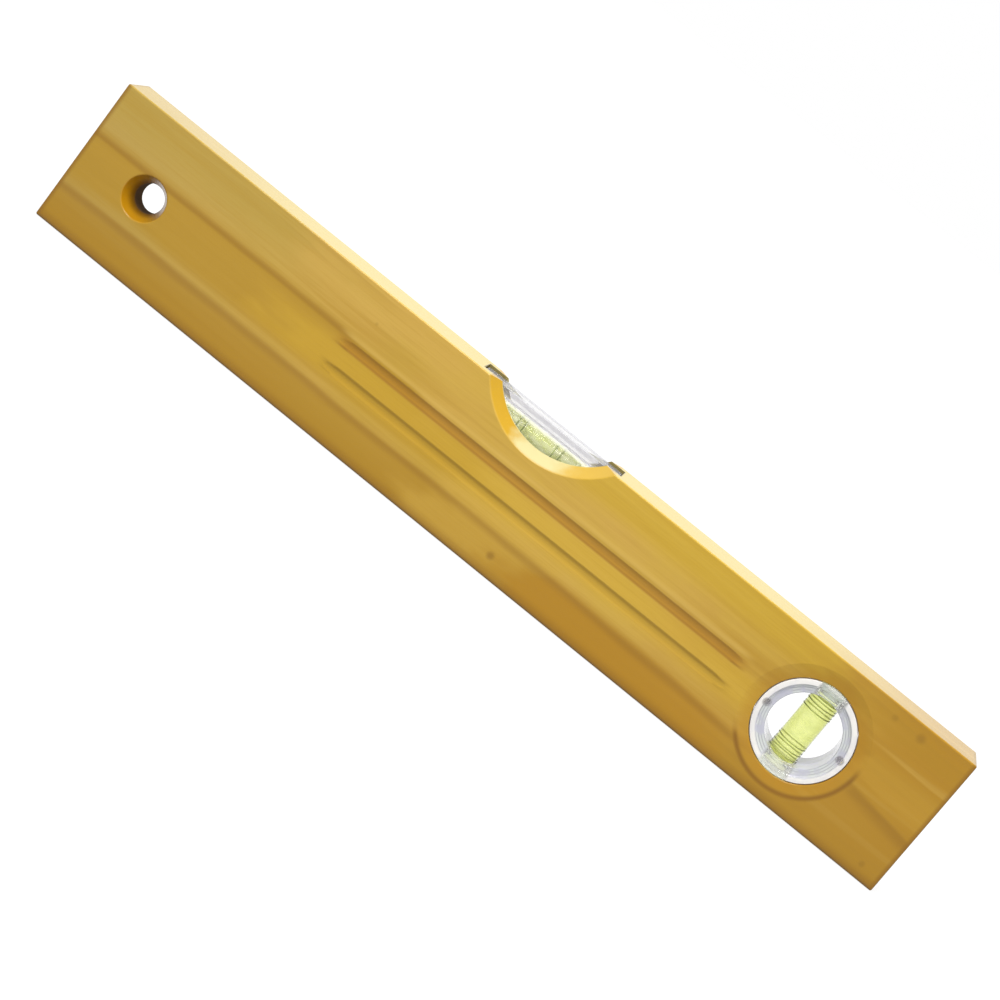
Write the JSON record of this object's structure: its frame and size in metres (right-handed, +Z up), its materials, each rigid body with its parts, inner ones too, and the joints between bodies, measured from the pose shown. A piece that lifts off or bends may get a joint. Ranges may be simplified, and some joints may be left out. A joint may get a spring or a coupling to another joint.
{
  "type": "spirit level",
  "caption": "Short pine carpenter's spirit level with a notched horizontal vial in the top edge, a plumb vial in a clear ring and a hang hole.",
  "frame": {"origin": "centre of the beam's bottom face", "axes": "+X along the beam from the hang hole to the plumb ring, -Y out of the front face, +Z up from the bottom face to the notched edge"},
  "size_m": [0.4, 0.024, 0.061],
  "materials": {
    "varnished_pine": "golden varnish, satin",
    "clear_acrylic": "clear moulded acrylic, polished",
    "vial_liquid": "yellow-green vial liquid",
    "vial_air": "air bubble",
    "mark_ink": "black ink",
    "plug_plastic": "pale translucent plastic",
    "pin_plastic": "grey-brown plastic"
  },
  "bodies": {
    "level": {"beam": "varnished_pine", "horizontal_vial_holder": "clear_acrylic", "horizontal_vial_tube": "clear_acrylic", "horizontal_vial_liquid": "vial_liquid", "horizontal_vial_left_plug": "plug_plastic", "horizontal_vial_right_plug": "plug_plastic", "horizontal_vial_left_outer_mark": "mark_ink", "horizontal_vial_left_inner_mark": "mark_ink", "horizontal_vial_right_inner_mark": "mark_ink", "horizontal_vial_right_outer_mark": "mark_ink", "plumb_ring_front": "clear_acrylic", "plumb_ring_back": "clear_acrylic", "plumb_ring_left_pin": "pin_plastic", "plumb_ring_right_pin": "pin_plastic", "plumb_vial_tube": "clear_acrylic", "plumb_vial_liquid": "vial_liquid", "plumb_vial_lower_plug": "plug_plastic", "plumb_vial_upper_plug": "plug_plastic", "plumb_vial_lower_end_mark": "mark_ink", "plumb_vial_lower_outer_mark": "mark_ink", "plumb_vial_lower_inner_mark": "mark_ink", "plumb_vial_upper_inner_mark": "mark_ink", "plumb_vial_upper_outer_mark": "mark_ink", "plumb_vial_upper_end_mark": "mark_ink"},
    "horizontal_bubble": {"horizontal_vial_bubble": "vial_air"},
    "plumb_bubble": {"plumb_vial_bubble": "vial_air"}
  },
  "joints": [
    {"name": "horizontal_bubble_slide", "type": "slide", "parent": "level", "child": "horizontal_bubble", "axis": [1, 0, 0], "range_m": [-0.0114, 0.0114], "stiffness_N_per_m": 0.05},
    {"name": "plumb_bubble_slide", "type": "slide", "parent": "level", "child": "plumb_bubble", "axis": [0, 0, 1], "range_m": [-0.0248, 0], "stiffness_N_per_m": 0.5, "springref_m": 0.02}
  ]
}
